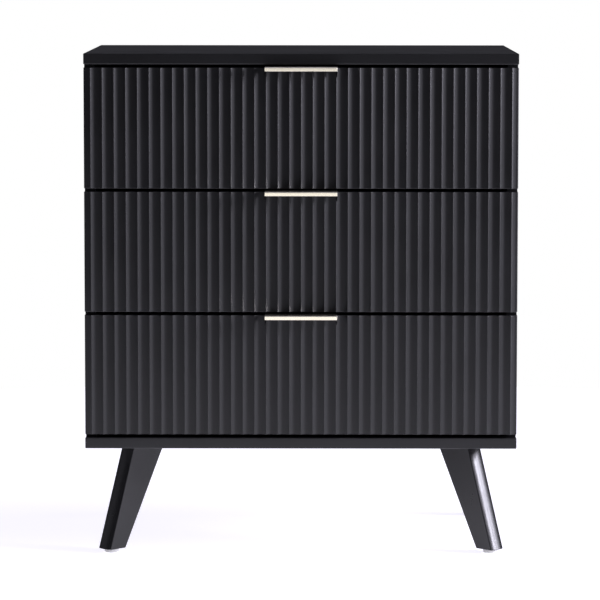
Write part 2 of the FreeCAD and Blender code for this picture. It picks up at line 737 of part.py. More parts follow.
def drawer_bottom(doc, name, row):
    """The thin bottom, in the grooves of the front and both sides and under the back."""
    half_width = f"({D_BOX_INNER} + Dims.groove_depth)"
    size = (f"2 * {half_width}", "Dims.box_length + Dims.groove_depth", "Dims.back_thick")
    corner = (f"-{half_width}", f"{D_FRONT_BACK} - Dims.groove_depth", bottom_level(row))
    return block(doc, f"{name}_drawer_bottom", size, corner)


def drawer_pull(doc, name, row):
    """A bent sheet over the front's top edge: flange behind, web on top, lip turned down in front."""
    label = f"{name}_drawer_pull"
    body = padded(doc, f"{label}_sheet", "YZ_Plane", (
        ("Dims.front_thick", "-Dims.pull_flange"),
        ("Dims.front_thick + Dims.pull_sheet", "-Dims.pull_flange"),
        ("Dims.front_thick + Dims.pull_sheet", "Dims.pull_sheet"),
        ("-Dims.pull_reach", "Dims.pull_sheet"),
        ("-Dims.pull_reach", "-Dims.pull_drop"),
        ("Dims.pull_sheet - Dims.pull_reach", "-Dims.pull_drop"),
        ("Dims.pull_sheet - Dims.pull_reach", "0"),
        ("Dims.front_thick", "0"),
    ), "Dims.pull_width")
    place(body, ("0", D_FRONT, f"{front_level(row)} + {D_FRONT_HEIGHT}"))
    tools = []
    for sign in SIDES.values():
        start = (f"{sign} * Dims.pull_screw_spread", D_FRONT_BACK, pull_screw_level(row))
        radius = "Dims.screw_radius + Dims.play"
        tools.append(rod(doc, f"{label}_screw_hole", radius, "Dims.pull_sheet", start, "+Y"))
    return cut(doc, label, body, tools)


def drawer_hardware(doc, masters, name, row):
    """The cams, cam bolts and screws of one drawer."""
    cams = []
    bolts = []
    screws = []
    for sign in SIDES.values():
        middle = f"{sign} * ({D_BOX_OUTER} - Dims.box_board / 2)"
        inner = f"{sign} * {D_BOX_INNER}"
        for rise in BOX_CAM_HEIGHTS:
            level = f"{box_level(row)} + {rise}"
            front_cam = (inner, f"{D_FRONT_BACK} + Dims.cam_reach", level)
            rear_cam = (f"{sign} * ({D_BOX_INNER} - Dims.cam_reach)", D_BOX_REAR, level)
            rear_bolt = (inner, f"{D_BOX_REAR} - Dims.box_board / 2", level)
            cams += [(front_cam, turned(-Y, -X * sign)), (rear_cam, turned(X * sign, Y))]
            bolts += [((middle, D_FRONT_BACK, level), AIMS["+Y"]), (rear_bolt, AIMS[way("X", -sign)])]
        for distance in DRAWER_SCREW_DEPTHS:
            web_face = f"{sign} * ({D_BOX_OUTER} + Dims.runner_steel)"
            screws.append(((web_face, runner_depth(distance), runner_level(row)), AIMS[way("X", sign)]))
        flange_face = f"{D_FRONT_BACK} + Dims.pull_sheet"
        pull_head = (f"{sign} * Dims.pull_screw_spread", flange_face, pull_screw_level(row))
        screws.append((pull_head, AIMS["+Y"]))
    return [
        copies(doc, f"{name}_drawer_cams", masters["small_cam"], cams),
        copies(doc, f"{name}_drawer_cam_bolts", masters["small_bolt"], bolts),
        copies(doc, f"{name}_drawer_screws", masters["screw"], screws),
    ]


def drawer(doc, masters, name, row):
    """Every sub-part of one drawer, with the middle members of its two runners."""
    pieces = [
        drawer_front(doc, name, row),
        drawer_back(doc, name, row),
        drawer_bottom(doc, name, row),
        drawer_pull(doc, name, row),
    ]
    for side in SIDES:
        runner = f"{name}_drawer_runner_{side}"
        slider = f"{name}_runner_slider_{side}"
        pieces.append(drawer_side(doc, name, row, side))
        pieces.append(runner_member(doc, runner, "drawer", row, side, DRAWER_SCREW_DEPTHS))
        pieces.append(runner_member(doc, slider, "slider", row, side, ()))
    return pieces + drawer_hardware(doc, masters, name, row)


# ---------------------------------------------------------------- whole

def check(doc, pieces):
    """Stops if any object failed or any sub-part is empty or invalid."""
    for item in doc.Objects:
        if {"Invalid", "Error"} & set(item.State):
            raise RuntimeError(f"{item.Label} failed: {item.State}")
    for piece in pieces:
        if piece.Shape.isNull() or not piece.Shape.isValid() or not piece.Shape.Solids:
            raise RuntimeError(f"{piece.Label} has no valid solid")
    if len({piece.Label for piece in pieces}) != len(pieces):
        raise RuntimeError("two sub-parts share a label")


def main():
    doc = FreeCAD.newDocument("nightstand")
    make_sheet(doc)
    masters = make_masters(doc)
    pieces = [top_panel(doc), base_panel(doc), back_panel(doc)]
    pieces += [side_panel(doc, side) for side in SIDES]
    pieces += case_joinery(doc, masters)
    pieces += [leg(doc, name) for name in CORNERS]
    pieces += [leg_screws(doc, masters), foot_glides(doc, masters)]
    pieces += cabinet_runners(doc, masters)
    for row, name in enumerate(ROWS):
        pieces += drawer(doc, masters, name, row)
    doc.recompute()
    check(doc, pieces)
    os.makedirs("parts", exist_ok=True)
    for piece in pieces:
        piece.Shape.exportStep(f"parts/{piece.Label}.step")
        print(f"{piece.Label}: {len(piece.Shape.Solids)} solid(s), {piece.Shape.Volume / 1000:.1f} cm3")
    print(f"{len(pieces)} sub-parts")


main()
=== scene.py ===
import json
from math import asin, atan, cos, pi, radians, sin, sqrt, tan

import bmesh
import bpy
from mathutils import Matrix, Vector

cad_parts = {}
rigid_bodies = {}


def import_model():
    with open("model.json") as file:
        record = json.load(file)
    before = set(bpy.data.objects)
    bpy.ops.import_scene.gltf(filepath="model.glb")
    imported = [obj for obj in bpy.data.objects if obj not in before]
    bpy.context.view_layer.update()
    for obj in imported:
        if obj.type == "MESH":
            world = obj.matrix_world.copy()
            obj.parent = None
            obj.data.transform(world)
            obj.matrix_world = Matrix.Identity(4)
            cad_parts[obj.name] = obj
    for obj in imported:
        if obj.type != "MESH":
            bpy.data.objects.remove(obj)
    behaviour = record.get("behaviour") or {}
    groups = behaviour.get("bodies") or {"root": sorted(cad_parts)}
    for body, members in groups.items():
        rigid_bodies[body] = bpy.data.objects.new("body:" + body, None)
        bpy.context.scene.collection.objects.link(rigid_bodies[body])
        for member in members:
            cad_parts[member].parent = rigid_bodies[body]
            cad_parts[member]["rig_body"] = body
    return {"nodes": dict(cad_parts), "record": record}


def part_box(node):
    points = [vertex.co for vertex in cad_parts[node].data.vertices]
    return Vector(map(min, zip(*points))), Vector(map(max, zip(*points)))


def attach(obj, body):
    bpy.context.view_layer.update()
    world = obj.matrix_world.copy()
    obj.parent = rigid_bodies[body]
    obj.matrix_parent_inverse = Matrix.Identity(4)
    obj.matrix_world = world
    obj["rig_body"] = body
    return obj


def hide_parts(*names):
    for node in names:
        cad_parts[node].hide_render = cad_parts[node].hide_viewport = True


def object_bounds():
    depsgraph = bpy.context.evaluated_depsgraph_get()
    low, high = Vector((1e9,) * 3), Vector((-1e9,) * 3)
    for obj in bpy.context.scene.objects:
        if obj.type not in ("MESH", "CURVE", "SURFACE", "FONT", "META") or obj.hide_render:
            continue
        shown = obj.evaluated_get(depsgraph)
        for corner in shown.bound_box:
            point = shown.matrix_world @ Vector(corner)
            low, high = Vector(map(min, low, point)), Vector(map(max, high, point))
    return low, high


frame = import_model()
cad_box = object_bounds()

# The looks of a black three-drawer nightstand with fluted fronts. All lengths are in metres.
# Every place comes from the CAD nodes.

MM = 0.001
ROWS = ("bottom", "middle", "top")
SIDES = {"left": -1, "right": 1}
CORNERS = {
    "front_left": (-1, -1),
    "front_right": (1, -1),
    "rear_right": (1, 1),
    "rear_left": (-1, 1),
}

SLAB_EASING = 1.2 * MM
CASE_EASING = 0.8 * MM
DRAWER_EASING = 0.5 * MM
SHEET_EASING = 0.3 * MM

FLUTE_PITCH = 16.15 * MM
FLUTE_RADIUS = 12 * MM
FLUTE_COUNT = 38
RIDGE_RADIUS = 0.45 * MM
FRONT_CORNER = 1.6 * MM
FRONT_EASING = 0.8 * MM

LEG_CROWN_RADIUS = 34 * MM
LEG_EDGE_RADIUS = 1.5 * MM
LEG_END_EASING = 0.8 * MM

PULL_OUTER_BEND = 1.3 * MM
PULL_INNER_BEND = 0.4 * MM
PULL_EDGE = 0.3 * MM
PULL_DROP = 4.2 * MM

RUNNER_STEEL = 1.2 * MM
RUNNER_OUTER_BEND = 1.4 * MM
RUNNER_INNER_BEND = 0.35 * MM
RUNNER_EDGE = 0.2 * MM

SHARP_ANGLE = radians(32)
WELD = 0.01 * MM


# ---------------------------------------------------------------- mesh helpers

def body_of(node):
    """The CAD body that a CAD node rides on."""
    return frame["nodes"][node]["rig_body"]


def add_piece(name, bm, look, body, nodes=()):
    """Makes a smooth-shaded piece of a bmesh: it rides on a body and stands for CAD nodes."""
    bmesh.ops.recalc_face_normals(bm, faces=bm.faces)
    mesh = bpy.data.meshes.new(name)
    bm.to_mesh(mesh)
    bm.free()
    mesh.shade_smooth()
    mesh.set_sharp_from_angle(angle=SHARP_ANGLE)
    mesh.materials.append(looks[look])
    piece = bpy.data.objects.new(name, mesh)
    bpy.context.scene.collection.objects.link(piece)
    weighting = piece.modifiers.new("weighted_normals", "WEIGHTED_NORMAL")
    weighting.keep_sharp = True
    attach(piece, body)
    if nodes:
        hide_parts(*nodes)
    return piece


def edge_layer(bm):
    """The vertex value that is 1 on eased edges, where paint is rubbed."""
    return bm.verts.layers.float.get("edge") or bm.verts.layers.float.new("edge")


def bridge_rings(bm, rings, rubbed=None):
    """Closes a solid through rings of equal length; rubbed gives each ring's edge value."""
    layer = edge_layer(bm)
    made = []
    for number, ring in enumerate(rings):
        verts = [bm.verts.new(point) for point in ring]
        for vert in verts:
            vert[layer] = rubbed[number] if rubbed else 0.0
        made.append(verts)
    for low, high in zip(made, made[1:]):
        for index in range(len(low)):
            following = (index + 1) % len(low)
            bm.faces.new((low[index], low[following], high[following], high[index]))
    bm.faces.new(reversed(made[0]))
    bm.faces.new(made[-1])
    return made


def easing_steps(radius, steps=4):
    """Pairs of (distance from the end, inset) that round a solid's end over by a quarter circle."""
    for step in range(steps + 1):
        turn = pi / 2 * step / steps
        yield radius * (1 - cos(turn)), radius * (1 - sin(turn))


def swept(bm, outline, to_space, start, end, easing):
    """A straight run of one outline, its ends eased. Outline points carry their outward normals."""
    levels = [(start + along, inset) for along, inset in easing_steps(easing)]
    levels += [(end - along, inset) for along, inset in reversed(list(easing_steps(easing)))]
    rings = []
    rubbed = []
    for level, inset in levels:
        rings.append([to_space(a - na * inset, b - nb * inset, level) for a, b, na, nb in outline])
        rubbed.append(1.0 if 0 < inset < easing else 0.0)
    return bridge_rings(bm, rings, rubbed)


def arc_points(centre_a, centre_b, radius, first, last, steps, outward=1):
    """Points with normals on an arc; angles are from the first axis towards the second."""
    points = []
    for step in range(steps + 1):
        turn = first + (last - first) * step / steps
        a, b = cos(turn), sin(turn)
        points.append((centre_a + radius * a, centre_b + radius * b, outward * a, outward * b))
    return points


def rounded_outline(corners, steps=4):
    """A closed outline, anticlockwise, from corners of (a, b, radius)."""
    outline = []
    count = len(corners)
    for index, (a, b, radius) in enumerate(corners):
        here = Vector((a, b))
        before = (here - Vector(corners[index - 1][:2])).normalized()
        after = (Vector(corners[(index + 1) % count][:2]) - here).normalized()
        turning = before.x * after.y - before.y * after.x
        bend = 1 if turning > 0 else -1
        reach = radius * abs(turning) / (1 + before.dot(after))
        first = here - before * reach
        out_before = Vector((before.y, -before.x))
        centre = first - out_before * radius * bend
        out_after = Vector((after.y, -after.x))
        for step in range(steps + 1):
            outward = out_before.lerp(out_after, step / steps).normalized()
            spot = centre + outward * radius * bend
            outline.append((spot.x, spot.y, outward.x, outward.y))
    return outline


def outer_edges(bm):
    """The edges that lie where two sides of the mesh's own box meet."""
    lows = [min(vert.co[axis] for vert in bm.verts) for axis in range(3)]
    highs = [max(vert.co[axis] for vert in bm.verts) for axis in range(3)]

    def sides(vert):
        return {
            (axis, side)
            for axis in range(3)
            for side, level in enumerate((lows[axis], highs[axis]))
            if abs(vert.co[axis] - level) < WELD
        }

    return [edge for edge in bm.edges if len(sides(edge.verts[0]) & sides(edge.verts[1])) > 1]


def softened(node, look, easing):
    """A board with the CAD board's own shape and holes, its outer edges eased."""
    bm = bmesh.new()
    bm.from_mesh(frame["nodes"][node].data)
    bmesh.ops.remove_doubles(bm, verts=bm.verts, dist=WELD)
    bmesh.ops.dissolve_limit(bm, angle_limit=radians(1), verts=bm.verts, edges=bm.edges)
    layer = edge_layer(bm)
    eased = bmesh.ops.bevel(
        bm, geom=outer_edges(bm), offset=easing, segments=3, profile=0.5,
        affect="EDGES", clamp_overlap=True,
    )
    strips = set(eased["faces"])
    for vert in eased["verts"]:
        if all(face in strips for face in vert.link_faces):
            vert[layer] = 1.0
    return add_piece(f"{node}_board", bm, look, body_of(node), [node])


# ---------------------------------------------------------------- materials

LACQUER_DARK = (0.0055, 0.0055, 0.006)
LACQUER_LIGHT = (0.0085, 0.0085, 0.0094)
LACQUER_RUBBED = (0.04, 0.04, 0.043)


class Shader:
    """A node material in the making; its coordinates are the object's own, in metres."""

    def __init__(self, name, **surface):
        self.material = bpy.data.materials.new(name)
        self.material.use_nodes = True
        self.nodes = self.material.node_tree.nodes
        self.links = self.material.node_tree.links
        self.surface = self.nodes["Principled BSDF"]
        self.coordinates = self.nodes.new("ShaderNodeTexCoord").outputs["Object"]
        for socket, value in surface.items():
            self.surface.inputs[socket.replace("_", " ")].default_value = value

    def set(self, socket, source):
        self.links.new(source, self.surface.inputs[socket])

    def mapped(self, stretch):
        """Coordinates multiplied along X, Y and Z."""
        mapping = self.nodes.new("ShaderNodeMapping")
        mapping.inputs["Scale"].default_value = stretch
        self.links.new(self.coordinates, mapping.inputs["Vector"])
        return mapping.outputs["Vector"]

    def noise(self, stretch, detail=3, roughness=0.5, distortion=0.0):
        """Cloud noise with so many lumps per metre along each axis."""
        node = self.nodes.new("ShaderNodeTexNoise")
        node.inputs["Scale"].default_value = 1
        node.inputs["Detail"].default_value = detail
        node.inputs["Roughness"].default_value = roughness
        node.inputs["Distortion"].default_value = distortion
        self.links.new(self.mapped(stretch), node.inputs["Vector"])
        return node.outputs["Fac"]

    def cells(self, stretch):
        """A different grey for each crystal of a random mosaic."""
        node = self.nodes.new("ShaderNodeTexVoronoi")
        node.inputs["Scale"].default_value = 1
        self.links.new(self.mapped(stretch), node.inputs["Vector"])
        bright = self.nodes.new("ShaderNodeRGBToBW")
        self.links.new(node.outputs["Color"], bright.inputs[0])
        return bright.outputs[0]

    def spread(self, source, low, high, start=0.35, end=0.65):
        """Source values from start to end, moved to low to high."""
        node = self.nodes.new("ShaderNodeMapRange")
        for socket, value in (("From Min", start), ("From Max", end), ("To Min", low), ("To Max", high)):
            node.inputs[socket].default_value = value
        self.links.new(source, node.inputs["Value"])
        return node.outputs["Result"]

    def product(self, first, second):
        node = self.nodes.new("ShaderNodeMath")
        node.operation = "MULTIPLY"
        self.links.new(first, node.inputs[0])
        self.links.new(second, node.inputs[1])
        return node.outputs[0]

    def edge(self):
        """The mesh's own edge value, 1 on eased edges."""
        node = self.nodes.new("ShaderNodeAttribute")
        node.attribute_name = "edge"
        return node.outputs["Fac"]

    def mixed(self, factor, first, second):
        """A colour between two; each is a colour or another node's output."""
        node = self.nodes.new("ShaderNodeMix")
        node.data_type = "RGBA"
        self.links.new(factor, node.inputs["Factor"])
        for socket, colour in (("A", first), ("B", second)):
            slot = next(i for i in node.inputs if i.name == socket and i.type == "RGBA")
            if isinstance(colour, tuple):
                slot.default_value = (*colour, 1)
            else:
                self.links.new(colour, slot)
        return next(o for o in node.outputs if o.type == "RGBA")

    def bump(self, height, depth, under=None):
        """Raises the surface by depth metres where height is 1, on top of another bump."""
        node = self.nodes.new("ShaderNodeBump")
        node.inputs["Strength"].default_value = 1
        node.inputs["Distance"].default_value = depth
        self.links.new(height, node.inputs["Height"])
        if under is not None:
            self.links.new(under, node.inputs["Normal"])
        return node.outputs["Normal"]


def lacquer(name, sheen):
    """Satin paint: cloudy tone and sheen, fine orange peel, edges rubbed a little lighter."""
    shader = Shader(name, Specular_IOR_Level=0.5)
    cloud = shader.noise((7, 7, 7), detail=4)
    tone = shader.mixed(shader.spread(cloud, 0, 1), LACQUER_DARK, LACQUER_LIGHT)
    wear = shader.product(shader.edge(), shader.spread(shader.noise((55, 55, 55)), 0.15, 0.8, 0.4, 0.7))
    shader.set("Base Color", shader.mixed(wear, tone, LACQUER_RUBBED))
    low, high = sheen
    handled = shader.noise((16, 16, 16), detail=5, roughness=0.6)
    shader.set("Roughness", shader.spread(handled, low, high))
    peel = shader.bump(shader.noise((650, 650, 650), detail=2), 0.03 * MM)
    specks = shader.spread(shader.noise((240, 240, 240), detail=1), 0, 1, 0.72, 0.8)
    shader.set("Normal", shader.bump(specks, 0.015 * MM, peel))
    return shader.material


def champagne_brass(name):
    """Brushed and clear-coated pale brass, the brush lines running across the pull."""
    shader = Shader(name, Metallic=1.0)
    brushing = shader.noise((25, 2600, 2600), detail=3, roughness=0.7)
    cloud = shader.noise((30, 30, 30), detail=3)
    tone = shader.mixed(shader.spread(cloud, 0, 1), (0.9, 0.845, 0.725), (0.95, 0.9, 0.785))
    worn = shader.product(shader.edge(), cloud)
    shader.set("Base Color", shader.mixed(worn, tone, (0.98, 0.93, 0.82)))
    shader.set("Roughness", shader.spread(brushing, 0.2, 0.3))
    shader.set("Normal", shader.bump(brushing, 0.004 * MM))
    return shader.material


def melamine(name):
    """Charcoal melamine with a fine pressed pore and slightly paler, handled edges."""
    shader = Shader(name, Specular_IOR_Level=0.45)
    cloud = shader.noise((4, 30, 4), detail=5, roughness=0.6)
    tone = shader.mixed(shader.spread(cloud, 0, 1), (0.036, 0.036, 0.039), (0.052, 0.052, 0.056))
    worn = shader.product(shader.edge(), cloud)
    shader.set("Base Color", shader.mixed(worn, tone, (0.16, 0.16, 0.165)))
    shader.set("Roughness", shader.spread(shader.noise((40, 40, 40), detail=4), 0.4, 0.55))
    pores = shader.noise((900, 160, 900), detail=2)
    shader.set("Normal", shader.bump(pores, 0.05 * MM))
    return shader.material


def hardboard(name):
    """Black-faced hardboard: matt, with pressed fibres."""
    shader = Shader(name, Specular_IOR_Level=0.35)
    fibres = shader.noise((260, 60, 260), detail=5, roughness=0.7, distortion=1.5)
    tone = shader.mixed(shader.spread(fibres, 0, 1), (0.028, 0.028, 0.029), (0.05, 0.05, 0.051))
    worn = shader.product(shader.edge(), fibres)
    shader.set("Base Color", shader.mixed(worn, tone, (0.12, 0.1, 0.085)))
    shader.set("Roughness", shader.spread(shader.noise((12, 12, 12), detail=4), 0.55, 0.72))
    shader.set("Normal", shader.bump(fibres, 0.08 * MM))
    return shader.material


def zinc_sheet(name, dark, light, roughness):
    """Zinc-plated steel: small spangles, rolling lines along the runner, dull spots."""
    shader = Shader(name, Metallic=1.0)
    spangle = shader.cells((450, 300, 450))
    cloud = shader.noise((25, 25, 25), detail=4)
    tone = shader.mixed(spangle, dark, light)
    tone = shader.mixed(shader.spread(cloud, 0, 0.35, 0.5, 0.7), tone, (0.3, 0.3, 0.3))
    worn = shader.product(shader.edge(), cloud)
    shader.set("Base Color", shader.mixed(worn, tone, (0.82, 0.82, 0.83)))
    low, high = roughness
    shader.set("Roughness", shader.spread(spangle, low, high, 0, 1))
    rolling = shader.noise((1800, 30, 1800), detail=2)
    shader.set("Normal", shader.bump(rolling, 0.006 * MM))
    return shader.material


def cast_zinc(name):
    """Die-cast zinc: matt and slightly grainy."""
    shader = Shader(name, Metallic=1.0)
    grain = shader.noise((1200, 1200, 1200), detail=3)
    tone = shader.mixed(shader.spread(grain, 0, 1), (0.36, 0.36, 0.37), (0.52, 0.52, 0.53))
    shader.set("Base Color", tone)
    shader.set("Roughness", shader.spread(grain, 0.42, 0.6))
    shader.set("Normal", shader.bump(grain, 0.03 * MM))
    return shader.material


def beech(name):
    """Bare beech with short flecks along the grain."""
    shader = Shader(name, Specular_IOR_Level=0.3)
    grain = shader.noise((900, 900, 60), detail=4, roughness=0.6)
    flecks = shader.spread(shader.noise((1500, 1500, 250), detail=2), 0, 1, 0.58, 0.66)
    tone = shader.mixed(shader.spread(grain, 0, 1), (0.5, 0.33, 0.18), (0.66, 0.48, 0.3))
    shader.set("Base Color", shader.mixed(flecks, tone, (0.36, 0.2, 0.1)))
    shader.set("Roughness", shader.spread(grain, 0.55, 0.7))
    shader.set("Normal", shader.bump(grain, 0.05 * MM))
    return shader.material


def nylon(name):
    """Off-white moulded nylon, scuffed near the floor."""
    shader = Shader(name, Specular_IOR_Level=0.45)
    scuffs = shader.noise((180, 180, 60), detail=4, roughness=0.65)
    tone = shader.mixed(shader.spread(scuffs, 0, 1, 0.45, 0.75), (0.72, 0.72, 0.7), (0.52, 0.51, 0.48))
    shader.set("Base Color", tone)
    shader.set("Roughness", shader.spread(scuffs, 0.4, 0.6))
    shader.set("Normal", shader.bump(shader.noise((500, 500, 500), detail=2), 0.03 * MM))
    return shader.material


looks = {
    "black_lacquer": lacquer("black_lacquer", (0.34, 0.4)),
    "leg_lacquer": lacquer("leg_lacquer", (0.23, 0.28)),
    "pull_brass": champagne_brass("pull_brass"),
    "drawer_board": melamine("drawer_board"),
    "back_board": hardboard("back_board"),
    "runner_steel": zinc_sheet(
        "runner_steel", (0.52, 0.53, 0.54), (0.66, 0.67, 0.68), (0.26, 0.42)
    ),
    "screw_steel": zinc_sheet(
        "screw_steel", (0.46, 0.46, 0.47), (0.6, 0.6, 0.61), (0.22, 0.36)
    ),
    "cam_zinc": cast_zinc("cam_zinc"),
    "dowel_beech": beech("dowel_beech"),
    "glide_nylon": nylon("glide_nylon"),
}


# ---------------------------------------------------------------- case and drawer boxes

def make_boards():
    """All flat boards, each from its own CAD node."""
    softened("top_panel", "black_lacquer", SLAB_EASING)
    softened("base_panel", "black_lacquer", SLAB_EASING)
    for side in SIDES:
        softened(f"side_panel_{side}", "black_lacquer", CASE_EASING)
    softened("back_panel", "back_board", SHEET_EASING)
    for row in ROWS:
        softened(f"{row}_drawer_back", "drawer_board", DRAWER_EASING)
        softened(f"{row}_drawer_bottom", "back_board", SHEET_EASING)
        for side in SIDES:
            softened(f"{row}_drawer_side_{side}", "drawer_board", DRAWER_EASING)


# ---------------------------------------------------------------- fluted fronts

def flute_arc(centre_x, axis_y, first, last, steps=12):
    """The hollow of one flute in plan; its points only ever move straight back."""
    points = []
    for step in range(steps + 1):
        lean = first + (last - first) * step / steps
        points.append((centre_x + FLUTE_RADIUS * sin(lean), axis_y + FLUTE_RADIUS * cos(lean), 0, -1))
    return points


def ridge_arc(centre_x, centre_y, half_angle, steps=4):
    """The narrow round between two flutes, without the end points that the flutes give."""
    points = []
    for step in range(1, steps):
        lean = half_angle * (2 * step / steps - 1)
        points.append((centre_x + RIDGE_RADIUS * sin(lean), centre_y - RIDGE_RADIUS * cos(lean), 0, -1))
    return points


def fluted_outline(half_width, face, rear):
    """A drawer front in plan, anticlockwise from its rear left corner."""
    half_pitch = FLUTE_PITCH / 2
    axis_y = face - sqrt(FLUTE_RADIUS ** 2 - half_pitch ** 2)
    ridge_y = axis_y + sqrt((FLUTE_RADIUS + RIDGE_RADIUS) ** 2 - half_pitch ** 2)
    half_angle = asin(half_pitch / (FLUTE_RADIUS + RIDGE_RADIUS))
    first_x = -(FLUTE_COUNT - 1) / 2 * FLUTE_PITCH
    flat_x = half_width - FRONT_CORNER
    end_lean = asin((flat_x + first_x) / FLUTE_RADIUS)
    end_y = axis_y + FLUTE_RADIUS * cos(end_lean)
    outline = [(-half_width, rear, -1, 0)]
    outline += arc_points(-flat_x, end_y + FRONT_CORNER, FRONT_CORNER, pi, 1.5 * pi, 5)[:-1]
    for number in range(FLUTE_COUNT):
        centre_x = first_x + number * FLUTE_PITCH
        first = -end_lean if number == 0 else -half_angle
        last = end_lean if number == FLUTE_COUNT - 1 else half_angle
        outline += flute_arc(centre_x, axis_y, first, last)
        if number < FLUTE_COUNT - 1:
            outline += ridge_arc(centre_x + half_pitch, ridge_y, half_angle)
    outline += arc_points(flat_x, end_y + FRONT_CORNER, FRONT_CORNER, -pi / 2, 0, 5)[1:]
    outline.append((half_width, rear, 1, 0))
    return outline


def make_front(row):
    """A drawer front with true round flutes, eased along its top and bottom."""
    node = f"{row}_drawer_front"
    low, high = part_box(node)
    bm = bmesh.new()
    outline = fluted_outline(high.x, low.y, high.y)
    swept(bm, outline, lambda a, b, level: (a, b, level), low.z, high.z, FRONT_EASING)
    add_piece(f"{row}_fluted_front", bm, "black_lacquer", body_of(node), [node])


# ---------------------------------------------------------------- legs

def leg_reach(node, corner, inward, level):
    """The least and greatest distance along the diagonal that a leg takes at one of its ends."""
    verts = [vert.co for vert in frame["nodes"][node].data.vertices if abs(vert.co.z - level) < WELD]
    reaches = [(co.xy - corner).dot(inward) for co in verts]
    return min(reaches), max(reaches)


def leg_outline(outer, inner, half_thick, inset):
    """A leg in plan: crowned outer face, flat sides and inner face, all corners rounded."""
    edge = LEG_EDGE_RADIUS - inset
    crown = LEG_CROWN_RADIUS - inset
    side = half_thick - inset
    crown_centre = outer + LEG_CROWN_RADIUS
    edge_centre = crown_centre - sqrt((crown - edge) ** 2 - (side - edge) ** 2)
    crown_angle = asin((side - edge) / (crown - edge))
    inner_centre = inner - inset - edge
    points = arc_points(crown_centre, 0, crown, pi - crown_angle, pi + crown_angle, 12)
    points += arc_points(edge_centre, edge - side, edge, pi + crown_angle, 1.5 * pi, 4)[1:]
    points += arc_points(inner_centre, edge - side, edge, -pi / 2, 0, 4)
    points += arc_points(inner_centre, side - edge, edge, 0, pi / 2, 4)
    points += arc_points(edge_centre, side - edge, edge, pi / 2, pi - crown_angle, 4)[:-1]
    return points


def make_leg(name):
    """A splayed, tapered leg on the case's diagonal."""
    node = f"leg_{name}"
    across, along = CORNERS[name]
    case_low, case_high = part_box("base_panel")
    corner = Vector((
        case_high.x if across > 0 else case_low.x,
        case_high.y if along > 0 else case_low.y,
    ))
    inward = Vector((-across, -along)).normalized()
    sideways = Vector((-inward.y, inward.x))
    low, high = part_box(node)
    foot = leg_reach(node, corner, inward, low.z)
    top = leg_reach(node, corner, inward, high.z)
    verts = frame["nodes"][node].data.vertices
    half_thick = max(abs((vert.co.xy - corner).dot(sideways)) for vert in verts)
    levels = [(low.z + along_leg, inset) for along_leg, inset in easing_steps(LEG_END_EASING)]
    levels += [(high.z, 0.0)]
    rings = []
    rubbed = []
    for level, inset in levels:
        share = (level - low.z) / (high.z - low.z)
        outer, inner = (a + (b - a) * share for a, b in zip(foot, top))
        ring = []
        for a, b, _, _ in leg_outline(outer, inner, half_thick, inset):
            spot = corner + inward * a + sideways * b
            ring.append((spot.x, spot.y, level))
        rings.append(ring)
        rubbed.append(1.0 if 0 < inset < LEG_END_EASING else 0.0)
    bm = bmesh.new()
    bridge_rings(bm, rings, rubbed)
    add_piece(f"{node}_board", bm, "leg_lacquer", body_of(node), [node])


# ---------------------------------------------------------------- pulls

def make_pull(row):
    """A bent brass sheet: flange behind the front, web over its top edge, lip down in front."""
    node = f"{row}_drawer_pull"
    low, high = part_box(node)
    front_low, front_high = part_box(f"{row}_drawer_front")
    sheet = high.z - front_high.z
    lip_end = front_high.z - PULL_DROP
    corners = [
        (low.y, high.z, PULL_OUTER_BEND),
        (low.y, lip_end, PULL_EDGE),
        (low.y + sheet, lip_end, PULL_EDGE),
        (low.y + sheet, front_high.z, PULL_INNER_BEND),
        (front_high.y, front_high.z, PULL_INNER_BEND),
        (front_high.y, low.z, PULL_EDGE),
        (high.y, low.z, PULL_EDGE),
        (high.y, high.z, PULL_OUTER_BEND),
    ]
    bm = bmesh.new()
    outline = rounded_outline(corners, steps=5)
    swept(bm, outline, lambda a, b, level: (level, a, b), low.x, high.x, PULL_EDGE)
    add_piece(f"{row}_bent_pull", bm, "pull_brass", body_of(node), [node])


# ---------------------------------------------------------------- runners

def make_runner_member(node, side, opens_outwards):
    """A roll-formed channel with round bends; it opens away from its web."""
    low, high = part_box(node)
    opens_right = (SIDES[side] > 0) == opens_outwards
    corners = [
        (low.x, low.z, RUNNER_OUTER_BEND),
        (high.x, low.z, RUNNER_EDGE),
        (high.x, low.z + RUNNER_STEEL, RUNNER_EDGE),
        (low.x + RUNNER_STEEL, low.z + RUNNER_STEEL, RUNNER_INNER_BEND),
        (low.x + RUNNER_STEEL, high.z - RUNNER_STEEL, RUNNER_INNER_BEND),
        (high.x, high.z - RUNNER_STEEL, RUNNER_EDGE),
        (high.x, high.z, RUNNER_EDGE),
        (low.x, high.z, RUNNER_OUTER_BEND),
    ]

    def to_space(across, up, along):
        return (across if opens_right else low.x + high.x - across, along, up)

    bm = bmesh.new()
    swept(bm, rounded_outline(corners), to_space, low.y, high.y, RUNNER_EDGE)
    add_piece(f"{node}_channel", bm, "runner_steel", body_of(node), [node])


def make_runners():
    """Three members a side for each drawer; the drawer's own opens the other way."""
    for row in ROWS:
        for side in SIDES:
            make_runner_member(f"{row}_cabinet_runner_{side}", side, False)
            make_runner_member(f"{row}_runner_slider_{side}", side, False)
            make_runner_member(f"{row}_drawer_runner_{side}", side, True)


# ---------------------------------------------------------------- turned hardware

AXES = (Vector((1, 0, 0)), Vector((0, 1, 0)), Vector((0, 0, 1)))
ROUND_POINTS = 48
CROSS_WIDTH = 0.17  # half of a cross recess's arm, as a share of the recess's reach
CROSS_STEPS = 3

